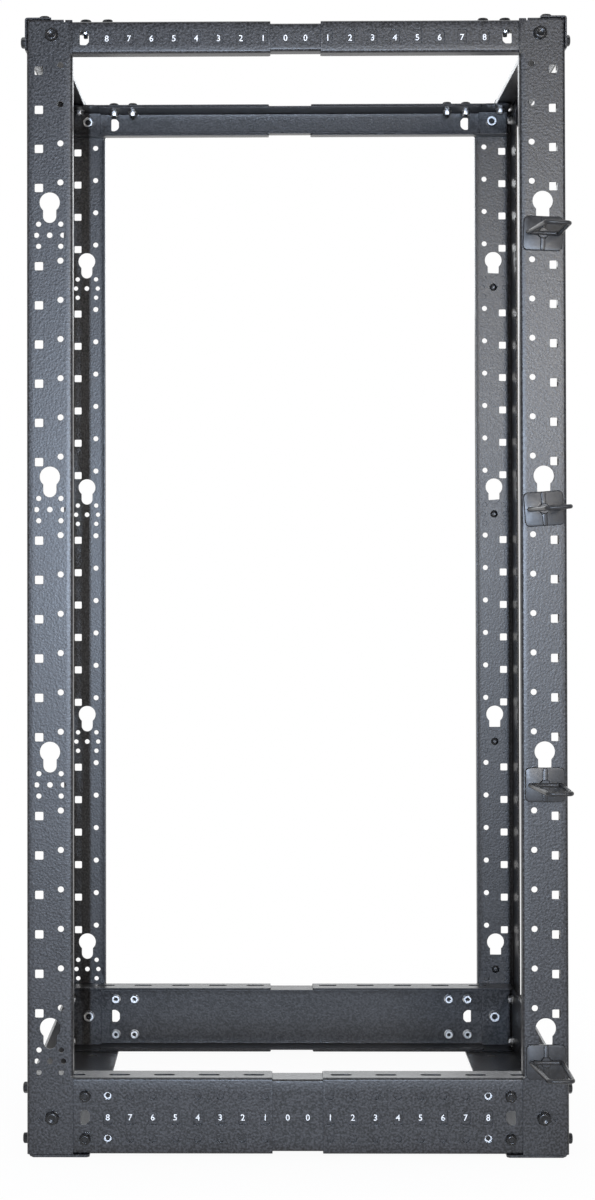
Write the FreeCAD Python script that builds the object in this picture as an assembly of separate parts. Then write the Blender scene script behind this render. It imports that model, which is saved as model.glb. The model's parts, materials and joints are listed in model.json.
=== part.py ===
import FreeCAD, Part
import math
import os

# Open equipment rack with four posts, 25 units high, whose depth is set by sliding rails.
# X runs from the front posts (negative) to the rear posts (positive), Y runs across the width
# from the right side (negative) to the left side (positive) and Z runs up from the floor.
# All sizes are in millimetres and describe the rack at its shortest depth.

# Whole rack
rack_width = 600.0
rack_height = 1289.0
closed_depth = 610.4
sheet = 2.0
base_sheet = 3.0
coat_gap = 0.2
slide_gap = 0.3
lay_gap = 0.3

# Equipment spacing: holes of one unit sit at these heights above the unit's lower edge
unit_height = 44.45
unit_base = 139.4
unit_hole_heights = (6.35, 22.225, 38.1)
unit_hole_side = 9.5
unit_hole_span = 465.1
unit_hole_edge = 7.55

# Posts
post_web_width = 52.0
post_lip_depth = 16.0
post_lip_clear = 2.0
post_tab_length = 40.0
post_tab_depth = 47.0
bend_radius = 3.0
web_square_side = 9.5
web_square_inset = 13.8

# Cable ring stations on the posts, each with a keyhole above its screw hole
station_count = 4
station_first_unit = 4
station_interval = 7
station_drop = 9.3
station_hole_radius = 3.2
keyhole_rise = 37.2
keyhole_radius = 11.5
keyhole_slot_width = 15.0
keyhole_slot_rise = 21.4
keyhole_sides = 10

# Depth rails and the inch scale that shows through their windows
inch = 25.4
zero_offset = 11.3
mark_clear = 8.0
centre_gap = 57.0
rail_end_gap = 1.0
window_width = 10.3
window_height = 16.4
scale_end_margin = 20.0
sight_hole_width = 12.0
sight_hole_height = 18.0

# Upper rails
upper_rail_height = 36.4
upper_top_flange = 56.0
upper_bottom_flange = 22.0
upper_scale_drop = 18.6

# Lower rails
lower_rail_height = 85.6
lower_flange = 38.0
lower_scale_line = 44.4
lock_bolt_rise = 24.0
slot_length = 24.0
slot_width = 8.0
slot_inset = 17.0
slot_first_mark = 1.5
slot_marks = 2.0

# Cross beams
top_beam_height = 37.0
top_beam_flange = 30.0
top_beam_lip = 8.0
top_beam_lip_clear = 3.0
base_beam_height = 86.0
base_beam_flange = 68.0
foot_hole_radius = 6.25
foot_hole_inset = 35.0
foot_hole_side_inset = 64.0
base_corner_cut = 3.0

# Fasteners, given by the width across their flats and their thickness
post_bolt_flats = 14.0
post_bolt_head = 6.5
post_bolt_inset = 28.2
upper_bolt_rise = 3.0
post_nut_flats = 13.0
post_nut_height = 6.5
small_bolt_flats = 11.5
small_bolt_head = 7.0
small_nut_flats = 10.0
small_nut_height = 6.0
top_bolt_side_inset = 28.0
side_bolt_side_inset = 30.0
corner_bolt_inset = 18.2
side_bolt_heights = (15.0, 72.0)
ring_screw_radius = 2.6
ring_screw_flats = 9.0
ring_screw_head = 3.0

# Cable rings
ring_plate_width = 45.0
ring_plate_height = 39.0
ring_plate_thickness = 3.0
ring_plate_corner = 5.0
ring_rib_width = 5.5
ring_rib_rise = 1.5
ring_reach = 105.0
ring_base_width = 41.0
ring_outer_width = 31.0
ring_bar = 5.0
ring_corner = 6.0
ring_screw_depth = 2.4
ring_turns = (2.5, -4.0, 0.0, 0.0)

# Places that follow from the sizes above
half_width = rack_width / 2
half_depth = closed_depth / 2
post_inner_x = half_depth - post_web_width
post_top = rack_height - sheet - coat_gap
rail_y = half_width - sheet - coat_gap
scale_y = rail_y - sheet - slide_gap
base_beam_x = half_depth - sheet - coat_gap
rail_end_x = base_beam_x - base_sheet - rail_end_gap
upper_rail_top = post_top - sheet - coat_gap
upper_rail_bottom = upper_rail_top - upper_rail_height
lower_rail_bottom = base_sheet + lay_gap
lower_rail_top = lower_rail_bottom + lower_rail_height
upper_scale_line = upper_rail_top - upper_scale_drop
unit_count = int((post_top - unit_base) / unit_height)
equipment_opening = unit_hole_span - 2 * unit_hole_edge
last_mark = int((post_inner_x - mark_clear - zero_offset) / inch)
slot_count = (last_mark + 1) // 2
foot_hole_y = half_width - foot_hole_side_inset
top_bolt_y = half_width - top_bolt_side_inset
side_bolt_y = half_width - side_bolt_side_inset
station_x = half_depth - post_web_width / 2
ring_seat_y = half_width + coat_gap

ENDS = (("front", -1), ("rear", 1))
SIDES = (("right", -1), ("left", 1))


def vec(x, y, z):
    """A point or direction."""
    return FreeCAD.Vector(x, y, z)


def block(x0, x1, y0, y1, z0, z1):
    """A rectangular solid between two corners."""
    return Part.makeBox(x1 - x0, y1 - y0, z1 - z0, vec(x0, y0, z0))


def prism(points, travel):
    """A solid made by moving the closed outline through points along travel."""
    outline = Part.makePolygon(points + points[:1])
    return Part.Face(outline).extrude(travel)


def turned(start, finish, sides, radius):
    """Points on an arc about the origin, as (across, up) pairs, from start to finish degrees."""
    step = (finish - start) / sides
    angles = [math.radians(start + step * i) for i in range(sides + 1)]
    return [(radius * math.cos(a), radius * math.sin(a)) for a in angles]


def polygon(sides, radius):
    """The corners of a regular polygon, as pairs, from the radius of the circle round them."""
    turn = 360 / sides
    return turned(0, 360 - turn, sides - 1, radius)


def hexagon(flats):
    """The corners of a hexagon, as pairs, from its width across the flats."""
    return polygon(6, flats / math.sqrt(3))


def along_y(pairs, x, y, z, length):
    """An outline of (x, z) pairs centred on a point, moved length along Y."""
    return prism([vec(x + a, y, z + b) for a, b in pairs], vec(0, length, 0))


def along_x(pairs, x, y, z, length):
    """An outline of (y, z) pairs centred on a point, moved length along X."""
    return prism([vec(x, y + a, z + b) for a, b in pairs], vec(length, 0, 0))


def along_z(pairs, x, y, z, length):
    """An outline of (x, y) pairs centred on a point, moved length along Z."""
    return prism([vec(x + a, y + b, z) for a, b in pairs], vec(0, 0, length))


def at_corner(shape, end, side):
    """The rear left piece mirrored to the corner that the two signs name."""
    if end < 0:
        shape = shape.mirror(vec(0, 0, 0), vec(1, 0, 0))
    if side < 0:
        shape = shape.mirror(vec(0, 0, 0), vec(0, 1, 0))
    return shape


def mark_x(mark):
    """The distance from the rack's middle to a mark on the inch scale."""
    return zero_offset + mark * inch


def unit_centre(unit):
    """The height of the middle of a unit, counted from the bottom."""
    return unit_base + (unit + 0.5) * unit_height


def station_units():
    """The units, counted from the bottom, that hold a cable ring station."""
    top = unit_count - 1
    return [top - station_first_unit - station_interval * i for i in range(station_count)]


def station_heights():
    """The heights of the cable ring screws."""
    return [unit_centre(unit) - station_drop for unit in station_units()]


def keyhole(height):
    """The cutter for one keyhole: a round head over a slot with a round foot."""
    half_slot = keyhole_slot_width / 2
    lean = math.degrees(math.asin(half_slot / keyhole_radius))
    head = turned(lean - 90, 270 - lean, keyhole_sides, keyhole_radius)
    head = [(a, b + keyhole_rise) for a, b in head]
    foot = turned(180, 360, keyhole_sides // 2, half_slot)
    foot = [(a, b + keyhole_slot_rise) for a, b in foot]
    return along_y(head + foot, station_x, half_width - 2 * sheet, height, 3 * sheet)


def post_cutters():
    """Every hole of one post: equipment squares, side squares, keyholes and screw holes."""
    cutters = []
    hole = unit_hole_side / 2
    y = unit_hole_span / 2
    for unit in range(unit_count):
        for rise in unit_hole_heights:
            z = unit_base + unit * unit_height + rise
            x0 = half_depth - 2 * sheet
            cutters.append(block(x0, x0 + 3 * sheet, y - hole, y + hole, z - hole, z + hole))
    square = web_square_side / 2
    x = half_depth - web_square_inset
    for unit in set(range(unit_count)) - set(station_units()):
        z = unit_centre(unit)
        y0 = half_width - 2 * sheet
        cutters.append(block(x - square, x + square, y0, y0 + 3 * sheet, z - square, z + square))
    screw_hole = hexagon(station_hole_radius * 2)
    for z in station_heights():
        cutters.append(keyhole(z))
        cutters.append(along_y(screw_hole, station_x, half_width - 2 * sheet, z, 3 * sheet))
    return cutters


def post():
    """The rear left post: a folded angle with a stiffening lip and a tab across its top."""
    flange_y = equipment_opening / 2
    outer = bend_radius
    inner = bend_radius - sheet
    cx = half_depth - outer
    cy = half_width - outer
    cos = math.cos(math.radians(45))
    foot = lower_rail_bottom
    corners = [
        vec(post_inner_x, half_width - sheet, foot),
        vec(post_inner_x, half_width, foot),
        vec(cx, half_width, foot),
        vec(half_depth, cy, foot),
        vec(half_depth, flange_y, foot),
        vec(half_depth - sheet, flange_y, foot),
        vec(half_depth - sheet, cy, foot),
        vec(cx, half_width - sheet, foot),
    ]
    outer_bend = Part.Arc(corners[2], vec(cx + outer * cos, cy + outer * cos, foot), corners[3])
    inner_bend = Part.Arc(corners[6], vec(cx + inner * cos, cy + inner * cos, foot), corners[7])
    edges = [
        Part.LineSegment(corners[0], corners[1]).toShape(),
        Part.LineSegment(corners[1], corners[2]).toShape(),
        outer_bend.toShape(),
        Part.LineSegment(corners[3], corners[4]).toShape(),
        Part.LineSegment(corners[4], corners[5]).toShape(),
        Part.LineSegment(corners[5], corners[6]).toShape(),
        inner_bend.toShape(),
        Part.LineSegment(corners[7], corners[0]).toShape(),
    ]
    angle = Part.Face(Part.Wire(edges)).extrude(vec(0, 0, post_top - foot))
    lip = block(
        post_inner_x, post_inner_x + sheet,
        half_width - post_lip_depth, half_width,
        lower_rail_top + post_lip_clear, upper_rail_bottom - post_lip_clear,
    )
    tab_end = half_depth - sheet - coat_gap
    tab = block(
        tab_end - post_tab_length, tab_end,
        half_width - post_tab_depth, half_width - sheet / 2,
        post_top - sheet, post_top,
    )
    return angle.fuse([lip, tab]).removeSplitter().cut(post_cutters())


def channel(x0, x1, web_y, z0, z1, top_flange, bottom_flange):
    """A rail along X: an upright web on the left with two flanges that point inward."""
    outline = [
        vec(x0, web_y, z0),
        vec(x0, web_y, z1),
        vec(x0, web_y - top_flange, z1),
        vec(x0, web_y - top_flange, z1 - sheet),
        vec(x0, web_y - sheet, z1 - sheet),
        vec(x0, web_y - sheet, z0 + sheet),
        vec(x0, web_y - bottom_flange, z0 + sheet),
        vec(x0, web_y - bottom_flange, z0),
    ]
    return prism(outline, vec(x1 - x0, 0, 0))


def scale_windows(scale_line):
    """The cutters for the windows that show the inch scale, one at each mark."""
    cutters = []
    half = window_width / 2
    low = scale_line - window_height / 2
    y0 = rail_y - 2 * sheet
    for mark in range(1, last_mark + 1):
        x = mark_x(mark)
        cutters.append(block(x - half, x + half, y0, y0 + 3 * sheet, low, low + window_height))
    return cutters


def upper_rail():
    """The rear left upper depth rail, from the rack's middle to the post."""
    rail = channel(
        centre_gap / 2, rail_end_x, rail_y,
        upper_rail_bottom, upper_rail_top, upper_top_flange, upper_bottom_flange,
    )
    return rail.cut(scale_windows(upper_scale_line))


def lower_rail():
    """The rear left lower depth rail, with lacing slots along its top flange."""
    rail = channel(
        centre_gap / 2, rail_end_x, rail_y,
        lower_rail_bottom, lower_rail_top, lower_flange, lower_flange,
    )
    cutters = scale_windows(lower_scale_line)
    y = rail_y - slot_inset
    z0 = lower_rail_top - 2 * sheet
    for i in range(slot_count):
        x = mark_x(slot_first_mark + slot_marks * i)
        x0 = x - slot_length / 2
        y0 = y - slot_width / 2
        cutters.append(block(x0, x0 + slot_length, y0, y0 + slot_width, z0, z0 + 3 * sheet))
    return rail.cut(cutters)


def scale_rail(bottom, top, top_flange, bottom_flange, scale_line):
    """A left scale rail, which slides inside the front and the rear depth rail."""
    inset = sheet + slide_gap
    end_x = mark_x(last_mark) + scale_end_margin
    rail = channel(
        -end_x, end_x, scale_y,
        bottom + inset, top - inset, top_flange - inset, bottom_flange - inset,
    )
    cutters = []
    half = sight_hole_width / 2
    low = scale_line - sight_hole_height / 2
    y0 = scale_y - 2 * sheet
    for sign in (-1, 1):
        x = sign * mark_x(last_mark)
        cutters.append(block(x - half, x + half, y0, y0 + 3 * sheet, low, low + sight_hole_height))
    return rail.cut(cutters)


def top_beam():
    """The rear top beam: a web outside the posts, a flange over them and a stiffening lip."""
    x0 = half_depth + coat_gap
    x1 = x0 + sheet
    z0 = rack_height - top_beam_height
    web = block(x0, x1, -half_width, half_width, z0, rack_height)
    flange_x = x1 - top_beam_flange
    flange = block(flange_x, x0 + sheet / 2, -half_width, half_width, rack_height - sheet, rack_height)
    lip_y = rail_y - upper_top_flange - top_beam_lip_clear
    lip = block(
        flange_x, flange_x + sheet, -lip_y, lip_y, rack_height - top_beam_lip, rack_height,
    )
    beam = web.fuse([flange, lip]).removeSplitter()
    return beam.makeFillet(bend_radius, [e for e in beam.Edges if top_outer_edge(e, x1)])


def top_outer_edge(edge, x):
    """Whether an edge is the long outer edge along the top of the beam's web."""
    middle = edge.CenterOfMass
    return abs(middle.x - x) < coat_gap and abs(middle.z - rack_height) < coat_gap


def base_beam():
    """The rear base beam: a web inside the posts and a floor flange that the posts stand on."""
    half = half_width - bend_radius - coat_gap
    web = block(base_beam_x - base_sheet, base_beam_x, -half, half, 0, base_beam_height)
    inner_x = base_beam_x - base_beam_flange
    cut = base_corner_cut
    outline = [
        (base_beam_x, half_width - cut), (base_beam_x - cut, half_width),
        (inner_x + cut, half_width), (inner_x, half_width - cut),
    ]
    outline += [(x, -y) for x, y in reversed(outline)]
    flange = along_z(outline, 0, 0, 0, base_sheet)
    beam = web.fuse(flange).removeSplitter()
    holes = []
    for sign in (-1, 1):
        centre = vec(base_beam_x - foot_hole_inset, sign * foot_hole_y, -base_sheet)
        holes.append(Part.makeCylinder(foot_hole_radius, 3 * base_sheet, centre))
    return beam.cut(holes)


def cable_ring(height, turn):
    """The rear left cable ring at a height: a ribbed plate whose loop leans in at the front."""
    half = ring_plate_width / 2
    tall = ring_plate_height / 2
    cut = ring_plate_corner
    outline = [
        (half, tall - cut), (half - cut, tall), (cut - half, tall), (-half, tall - cut),
        (-half, cut - tall), (cut - half, -tall), (half - cut, -tall), (half, cut - tall),
    ]
    plate = along_y(outline, station_x, ring_seat_y, height, ring_plate_thickness)
    face_y = ring_seat_y + ring_plate_thickness
    rib = block(
        station_x - ring_rib_width / 2, station_x + ring_rib_width / 2,
        face_y - ring_rib_rise, face_y + ring_rib_rise,
        height - tall, height + tall,
    )
    reach = ring_seat_y + ring_reach
    half_base = ring_base_width / 2
    outer = loop_outline(half_base, ring_outer_width, face_y, reach, ring_corner)
    inner = loop_outline(
        half_base - ring_bar, ring_outer_width - 2 * ring_bar,
        face_y + ring_bar, reach - ring_bar, ring_corner - ring_bar / 2,
    )
    low = height - ring_bar / 2
    loop = along_z(outer, station_x, 0, low, ring_bar)
    loop = loop.cut(along_z(inner, station_x, 0, low - ring_bar, 3 * ring_bar))
    socket = along_y(
        hexagon(station_hole_radius * 2), station_x, ring_seat_y - sheet, height,
        sheet + ring_screw_depth,
    )
    ring = plate.fuse([rib, loop]).removeSplitter().cut(socket)
    ring.rotate(vec(station_x, 0, height), vec(0, 1, 0), turn)
    return ring


def loop_outline(base, width, y0, y1, corner):
    """An outline of (x, y) pairs from -base to base at y0, which leans in to a width at y1."""
    front = base - width
    lean = (front + base) * corner / (y1 - y0)
    return [
        (-base, y0), (base, y0), (base, y1 - corner), (base - corner, y1),
        (front + corner, y1), (front - lean, y1 - corner),
    ]


def ring_screw(height):
    """A ring's screw: its head bears on the inside of the post and its shank is the pivot."""
    inside = half_width - sheet - coat_gap
    head = along_y(hexagon(ring_screw_flats), station_x, inside - ring_screw_head, height, ring_screw_head)
    grip = sheet + 2 * coat_gap + ring_screw_depth - lay_gap
    shank = along_y(polygon(6, ring_screw_radius), station_x, inside, height, grip)
    return head.fuse(shank).removeSplitter()


def post_fasteners():
    """The rear left bolts that hold both depth rails to the post, and their nuts."""
    x = half_depth - post_bolt_inset
    inside = rail_y - sheet - coat_gap - post_nut_height
    bolts = []
    nuts = []
    for z in (lower_scale_line, upper_scale_line + upper_bolt_rise):
        head_y = half_width + coat_gap
        bolts.append(along_y(hexagon(post_bolt_flats), x, head_y, z, post_bolt_head))
        nuts.append(along_y(hexagon(post_nut_flats), x, inside, z, post_nut_height))
    return bolts, nuts


def beam_fasteners():
    """The rear left screws that hold both cross beams to the post, and their nuts."""
    head = hexagon(small_bolt_flats)
    nut = hexagon(small_nut_flats)
    bolts = []
    nuts = []
    x = half_depth + coat_gap
    for z in side_bolt_heights:
        bolts.append(along_x(head, x, side_bolt_y, z, small_bolt_head))
        nut_x = base_beam_x - base_sheet - coat_gap - small_nut_height
        nuts.append(along_x(nut, nut_x, side_bolt_y, z, small_nut_height))
    x = x + sheet + coat_gap
    bolts.append(along_x(head, x, side_bolt_y, upper_scale_line, small_bolt_head))
    nut_x = half_depth - sheet - coat_gap - small_nut_height
    nuts.append(along_x(nut, nut_x, side_bolt_y, upper_scale_line, small_nut_height))
    x = half_depth - corner_bolt_inset
    bolts.append(along_z(head, x, top_bolt_y, rack_height + coat_gap, small_bolt_head))
    nut_z = upper_rail_top - sheet - coat_gap - small_nut_height
    nuts.append(along_z(nut, x, top_bolt_y, nut_z, small_nut_height))
    return bolts, nuts


def lock_bolts():
    """The rear left bolts that lock the depth rails: two on the lower, two on the upper."""
    head = hexagon(small_bolt_flats)
    bolts = []
    for rise in (-lock_bolt_rise, lock_bolt_rise):
        z = lower_scale_line + rise
        bolts.append(along_y(head, mark_x(last_mark), rail_y + coat_gap, z, small_bolt_head))
    for mark in (last_mark - 1, last_mark):
        z = upper_rail_top + coat_gap
        bolts.append(along_z(head, mark_x(mark), top_bolt_y, z, small_bolt_head))
    return bolts


def lock_nuts():
    """The nuts inside the rear left end of the scale rails, at the last two marks."""
    nut = hexagon(small_nut_flats)
    nuts = []
    for mark in (last_mark - 1, last_mark):
        y = scale_y - sheet - coat_gap - small_nut_height
        for rise in (-lock_bolt_rise, lock_bolt_rise):
            z = lower_scale_line + rise
            nuts.append(along_y(nut, mark_x(mark), y, z, small_nut_height))
        z = upper_rail_top - 2 * sheet - slide_gap - coat_gap - small_nut_height
        nuts.append(along_z(nut, mark_x(mark), top_bolt_y, z, small_nut_height))
    return nuts


def both_sides(shapes, end):
    """A group of rear left solids and their mirror images, at one end of the rack."""
    return [at_corner(shape, end, side) for _, side in SIDES for shape in shapes]


def all_parts():
    """Every part of the rack by name."""
    parts = {}
    bolts, nuts = post_fasteners()
    beam_bolts, beam_nuts = beam_fasteners()
    for end_name, end in ENDS:
        for side_name, side in SIDES:
            corner = end_name + "_" + side_name
            parts[corner + "_post"] = at_corner(post(), end, side)
            parts[corner + "_upper_rail"] = at_corner(upper_rail(), end, side)
            parts[corner + "_lower_rail"] = at_corner(lower_rail(), end, side)
        parts[end_name + "_top_beam"] = at_corner(top_beam(), end, 1)
        parts[end_name + "_base_beam"] = at_corner(base_beam(), end, 1)
        parts[end_name + "_post_bolts"] = Part.makeCompound(both_sides(bolts, end))
        parts[end_name + "_post_nuts"] = Part.makeCompound(both_sides(nuts, end))
        parts[end_name + "_beam_screws"] = Part.makeCompound(both_sides(beam_bolts, end))
        parts[end_name + "_beam_nuts"] = Part.makeCompound(both_sides(beam_nuts, end))
        parts[end_name + "_lock_bolts"] = Part.makeCompound(both_sides(lock_bolts(), end))
    for side_name, side in SIDES:
        upper = scale_rail(
            upper_rail_bottom, upper_rail_top, upper_top_flange, upper_bottom_flange, upper_scale_line,
        )
        lower = scale_rail(
            lower_rail_bottom, lower_rail_top, lower_flange, lower_flange, lower_scale_line,
        )
        parts[side_name + "_upper_scale_rail"] = at_corner(upper, 1, side)
        parts[side_name + "_lower_scale_rail"] = at_corner(lower, 1, side)
        for number, height in enumerate(station_heights(), 1):
            ring = cable_ring(height, ring_turns[(number - 1) % len(ring_turns)])
            parts["%s_cable_ring_%d" % (side_name, number)] = at_corner(ring, 1, side)
    parts["lock_nuts"] = Part.makeCompound(both_sides(lock_nuts(), 1) + both_sides(lock_nuts(), -1))
    screws = [ring_screw(height) for height in station_heights()]
    parts["ring_screws"] = Part.makeCompound(both_sides(screws, 1))
    return parts


os.makedirs("parts", exist_ok=True)
for part_name, part_shape in all_parts().items():
    part_shape.exportStep("parts/" + part_name + ".step")
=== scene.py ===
"""Visual model and studio scene of an open equipment rack with four posts.

Every sheet metal part is laid out flat as an outline with its holes, triangulated, folded along
its bends and given its thickness. All sizes below are in millimetres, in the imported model's own
frame: X from the front posts to the rear posts, Y across the width, Z up from the floor. The
pieces of one quarter of the rack are made for the rear left corner and mirrored to the others.
"""

import json
import logging
import math
from dataclasses import dataclass, field
from enum import Enum
from typing import Any, Callable, Iterable, Optional, Sequence

import bmesh
import bpy
import numpy as np
from mathutils import Euler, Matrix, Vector
from mathutils.geometry import delaunay_2d_cdt


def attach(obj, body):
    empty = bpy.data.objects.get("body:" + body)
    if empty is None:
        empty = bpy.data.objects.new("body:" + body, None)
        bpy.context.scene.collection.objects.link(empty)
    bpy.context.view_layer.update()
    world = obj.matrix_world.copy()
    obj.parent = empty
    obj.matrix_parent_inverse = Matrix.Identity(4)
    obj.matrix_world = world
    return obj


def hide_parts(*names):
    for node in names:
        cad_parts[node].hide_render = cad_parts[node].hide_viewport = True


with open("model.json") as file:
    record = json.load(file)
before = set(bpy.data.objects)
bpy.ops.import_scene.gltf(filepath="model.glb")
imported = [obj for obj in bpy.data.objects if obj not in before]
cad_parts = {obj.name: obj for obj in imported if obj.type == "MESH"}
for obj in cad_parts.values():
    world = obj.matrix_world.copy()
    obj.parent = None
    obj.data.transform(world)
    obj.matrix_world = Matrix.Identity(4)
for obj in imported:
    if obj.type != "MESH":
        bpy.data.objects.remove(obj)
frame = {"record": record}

LOG = logging.getLogger("rack_scene")
MM = 0.001

Pair = tuple[float, float]
Loop = list[Pair]
Triple = tuple[float, float, float]
Face = tuple[int, ...]
Points = Sequence[Triple] | np.ndarray
Shell = tuple[Points, list[Face]]
Solid = tuple[Points, list[Face], int]
Tree = bpy.types.NodeTree
Socket = bpy.types.NodeSocket

SQUARE = math.pi / 2
FAR = 1e6
JOIN = 1e-4


class End(Enum):
    """The front or the rear of the rack, with the sign of its X."""

    FRONT = -1
    REAR = 1


class Side(Enum):
    """The right or the left side of the rack, with the sign of its Y."""

    RIGHT = -1
    LEFT = 1


@dataclass(frozen=True)
class RackSizes:
    """The sizes of the rack, as in its CAD source."""

    half_width: float = 300.0
    height: float = 1289.0
    half_depth: float = 305.2
    sheet: float = 2.0
    bend: float = 3.0
    post_inner: float = 253.2
    post_top: float = 1286.8
    flange_edge: float = 225.0
    lip_depth: float = 16.0
    lip_low: float = 90.9
    lip_high: float = 1246.2
    tab_start: float = 263.0
    tab_end: float = 301.0
    tab_depth: float = 47.0
    unit: float = 44.45
    unit_count: int = 25
    unit_base: float = 139.4
    unit_holes: Triple = (6.35, 22.225, 38.1)
    hole_side: float = 9.5
    hole_corner: float = 0.8
    hole_y: float = 232.55
    side_square_x: float = 291.4
    side_round_x: float = 267.0
    side_round_rise: float = 6.2
    side_round: float = 3.5
    station_x: float = 279.2
    station_units: tuple[int, ...] = (20, 13, 6, -1)
    station_drop: float = 9.3
    rail_y: float = 297.8
    rail_start: float = 28.5
    rail_end: float = 299.0
    scale_y: float = 295.5
    scale_end: float = 259.9
    zero: float = 11.3
    inch: float = 25.4
    last_mark: int = 9
    upper_low: float = 1248.2
    upper_high: float = 1284.6
    upper_line: float = 1266.0
    lower_low: float = 3.3
    lower_high: float = 88.9
    lower_line: float = 44.4
    lock_rise: float = 24.0
    lock_hole: float = 4.25
    base_x: float = 303.0
    bolt_rise: float = 3.0
    ring_turns: tuple[float, ...] = (2.5, -4.0, 0.0, 0.0)

    def mark(self, number: float) -> float:
        """The distance from the rack's middle to a mark on the inch scale.

        Args:
            number: the mark, counted from 0 beside the middle.

        Returns:
            The distance along X.
        """
        return self.zero + number * self.inch

    def unit_centre(self, unit: int) -> float:
        """The height of the middle of a unit, counted from the bottom."""
        return self.unit_base + (unit + 0.5) * self.unit

    def stations(self) -> list[float]:
        """The heights of the cable ring screws, from the top down."""
        return [self.unit_centre(unit) - self.station_drop for unit in self.station_units]


RACK = RackSizes()


# ---------------------------------------------------------------- flat shapes


def arc(centre: Pair, radius: float, start: float, finish: float, steps: int) -> Loop:
    """Points on an arc.

    Args:
        centre: the arc's centre.
        radius: its radius.
        start: the first angle in degrees.
        finish: the last angle in degrees.
        steps: how many pieces it is cut into.

    Returns:
        The points, both ends among them.
    """
    angles = np.radians(np.linspace(start, finish, steps + 1))
    return [(centre[0] + radius * math.cos(a), centre[1] + radius * math.sin(a)) for a in angles]


def circle(x: float, y: float, radius: float, steps: int = 20) -> Loop:
    """A closed round outline."""
    return arc((x, y), radius, 0, 360, steps)[:-1]


def rounded(x: float, y: float, width: float, height: float, radius: float, steps: int = 3) -> Loop:
    """A closed rectangle about (x, y) with rounded corners.

    Args:
        x: the middle's first coordinate.
        y: the middle's second coordinate.
        width: its size along the first axis.
        height: its size along the second axis.
        radius: the corners' radius.
        steps: how many pieces a corner has.

    Returns:
        The outline, counter-clockwise.
    """
    dx, dy = width / 2 - radius, height / 2 - radius
    loop: Loop = []
    for index, (sx, sy) in enumerate(((1, 1), (-1, 1), (-1, -1), (1, -1))):
        corner = (x + sx * dx, y + sy * dy)
        loop += arc(corner, radius, 90 * index, 90 * index + 90, steps)
    return tidy(loop)


def tidy(loop: Loop) -> Loop:
    """The loop without points that repeat the one before."""
    return [p for i, p in enumerate(loop) if math.dist(p, loop[i - 1]) > JOIN]


def keyhole(x: float, z: float) -> Loop:
    """A keyhole above a station: a round head over a slot with a round foot.

    Args:
        x: the station's first coordinate.
        z: the station's height.

    Returns:
        The outline.
    """
    head, slot = 11.5, 7.5
    head_rise, foot_rise = 37.2, 21.4
    lean = math.degrees(math.asin(slot / head))
    loop = arc((x, z + head_rise), head, lean - 90, 270 - lean, 28)
    return loop + arc((x, z + foot_rise), slot, 180, 360, 14)


def sight_hole(x: float, z: float) -> Loop:
    """The window at the end of a scale rail: round towards the middle, flat outwards."""
    radius, flat, middle = 9, 6, 3
    square = [(x + flat, z - radius), (x + flat, z + radius)]
    return square + arc((x + middle, z), radius, 90, 270, 12)


# ------------------------------------------------------------- folded sheets


@dataclass(frozen=True)
class Fold:
    """A bend across a sheet's strip, and the stretch of the sheet where it is made."""

    low: float = -FAR
    high: float = FAR

    def active(self, v: float) -> bool:
        """Whether the sheet is bent here at v along the strip."""
        return self.low <= v <= self.high


class Profile:
    """A strip of sheet that is folded along parallel lines.

    The outer face follows a polyline whose corners are the bends. u runs along that face, across
    the bends, and v runs along them.
    """

    def __init__(self, corners: Sequence[Pair], radius: float, folds: Sequence[Fold] = ()) -> None:
        """Keeps the strip's shape.

        Args:
            corners: the outer face's polyline, which turns left by a right angle at each bend.
            radius: the outer radius of every bend.
            folds: one for each bend, or none where every bend runs the strip's whole length.
        """
        self.corners = [Vector(c) for c in corners]
        self.radius = radius
        self.folds = list(folds) or [Fold() for _ in corners[2:]]
        self.starts: list[float] = []
        position = 0.0
        count = len(self.corners) - 1
        for i in range(count):
            self.starts.append(position)
            position += self.flat(i)
            if i < count - 1:
                position += SQUARE * radius
        self.length = position

    def trim(self, i: int) -> tuple[float, float]:
        """How much of segment i its two bends take."""
        before = self.radius if i else 0.0
        after = self.radius if i < len(self.corners) - 2 else 0.0
        return before, after

    def flat(self, i: int) -> float:
        """The length of segment i between its bends."""
        before, after = self.trim(i)
        return (self.corners[i + 1] - self.corners[i]).length - before - after

    def at(self, i: int, distance: float) -> float:
        """u of the point on segment i at a distance from the segment's sharp corner."""
        return self.starts[i] + distance - self.trim(i)[0]

    def bend_lines(self, steps: int = 6) -> list[tuple[float, Fold]]:
        """u of each line that a bend is divided along.

        Args:
            steps: how many pieces a bend is divided into.

        Returns:
            u of each line and the fold that it belongs to.
        """
        lines = []
        for i, fold in enumerate(self.folds):
            start = self.starts[i] + self.flat(i)
            for k in range(steps + 1):
                lines.append((start + SQUARE * self.radius * k / steps, fold))
        return lines

    def place(self, u: float, v: float) -> tuple[Vector, Vector]:
        """The point on the outer face, and the outward direction there.

        Args:
            u: the place across the bends.
            v: the place along them.

        Returns:
            The point and the direction, both in the profile's plane.
        """
        last = len(self.corners) - 2
        for i in range(last + 1):
            a, b = self.corners[i], self.corners[i + 1]
            along = (b - a).normalized()
            out = Vector((along.y, -along.x))
            reach = u - self.starts[i]
            flat = self.flat(i)
            begin = a + along * self.trim(i)[0]
            if i == last or reach <= flat or not self.folds[i].active(v):
                return begin + along * reach, out
            if reach < flat + SQUARE * self.radius:
                angle = (reach - flat) / self.radius
                pivot = begin + along * flat - out * self.radius
                turned = out * math.cos(angle) + along * math.sin(angle)
                return pivot + turned * self.radius, turned
        raise ValueError("u lies outside the profile")


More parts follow.
